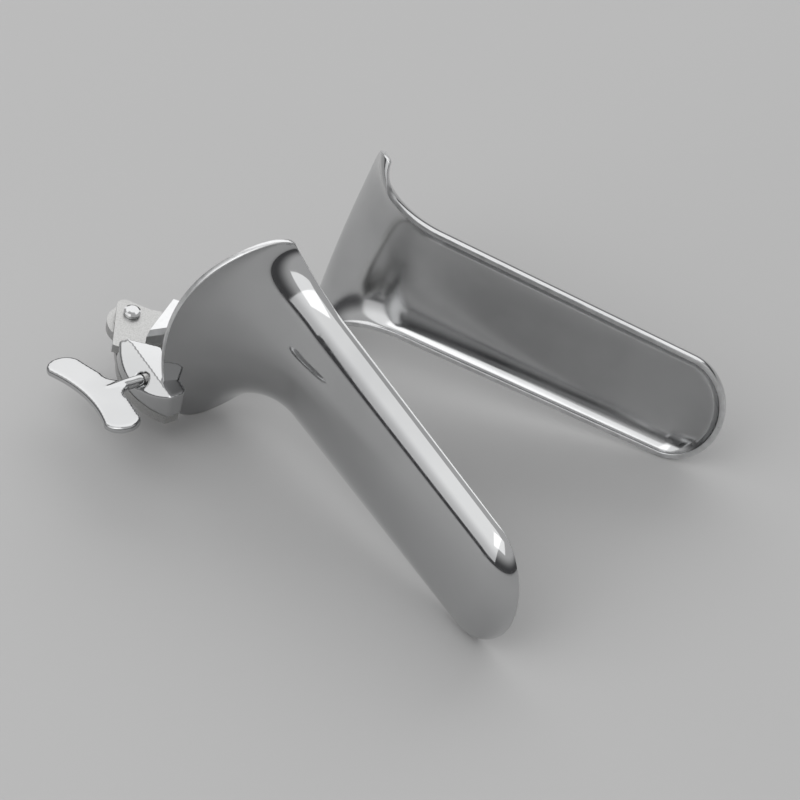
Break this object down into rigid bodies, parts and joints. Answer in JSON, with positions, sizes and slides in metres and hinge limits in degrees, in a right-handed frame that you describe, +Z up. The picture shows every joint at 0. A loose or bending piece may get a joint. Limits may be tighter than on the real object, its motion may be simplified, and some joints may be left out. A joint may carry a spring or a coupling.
{
  "type": "bivalve speculum",
  "caption": "Polished steel bivalve speculum: hinged gutter-shaped blades with trumpet flanges, opened by a wing screw and shown open on its side.",
  "frame": {"origin": "bottom centre of the bounding box, on the table that the instrument lies on", "axes": "+Z up from the table; +X along the longest extent, from the wing key to the far blade's tip; -Y towards the picture's viewer"},
  "size_m": [0.1464, 0.1162, 0.0585],
  "materials": {
    "polished_steel": "mirror polish",
    "satin_steel": "satin"
  },
  "bodies": {
    "near_body": {"near_valve": "polished_steel", "near_hinge_plate": "satin_steel", "near_horn": "polished_steel", "hinge_pin": "polished_steel", "hinge_washer": "satin_steel", "pin_collar": "satin_steel"},
    "far_body": {"far_valve": "polished_steel", "far_hinge_plate": "satin_steel", "far_rail": "polished_steel", "far_thrust_wall": "satin_steel", "far_arm": "satin_steel"},
    "screw_slider": {"thrust_cap": "satin_steel"},
    "screw_key": {"wing_key": "polished_steel", "screw_shaft": "satin_steel"}
  },
  "joints": [
    {"name": "valve_hinge", "type": "hinge", "parent": "near_body", "child": "far_body", "pos_m": [-0.0514, 0.03122, 0.03981], "axis": [0.1736, -0.1381, 0.9751], "range_deg": [-34.2, 0]},
    {"name": "screw_travel", "type": "slide", "parent": "near_body", "child": "screw_slider", "axis": [-0.8472, -0.5257, 0.0764], "range_m": [0, 0.0136]},
    {"name": "screw_turn", "type": "hinge", "parent": "screw_slider", "child": "screw_key", "pos_m": [-0.0516, 0.01401, 0.01464], "axis": [-0.8472, -0.5257, 0.0764], "range_deg": [0, 2440]}
  ],
  "couplings": [
    {"joint": "screw_travel", "follows": "valve_hinge", "m_per_rad": -0.0225},
    {"joint": "screw_turn", "follows": "valve_hinge", "ratio": -70.686}
  ]
}
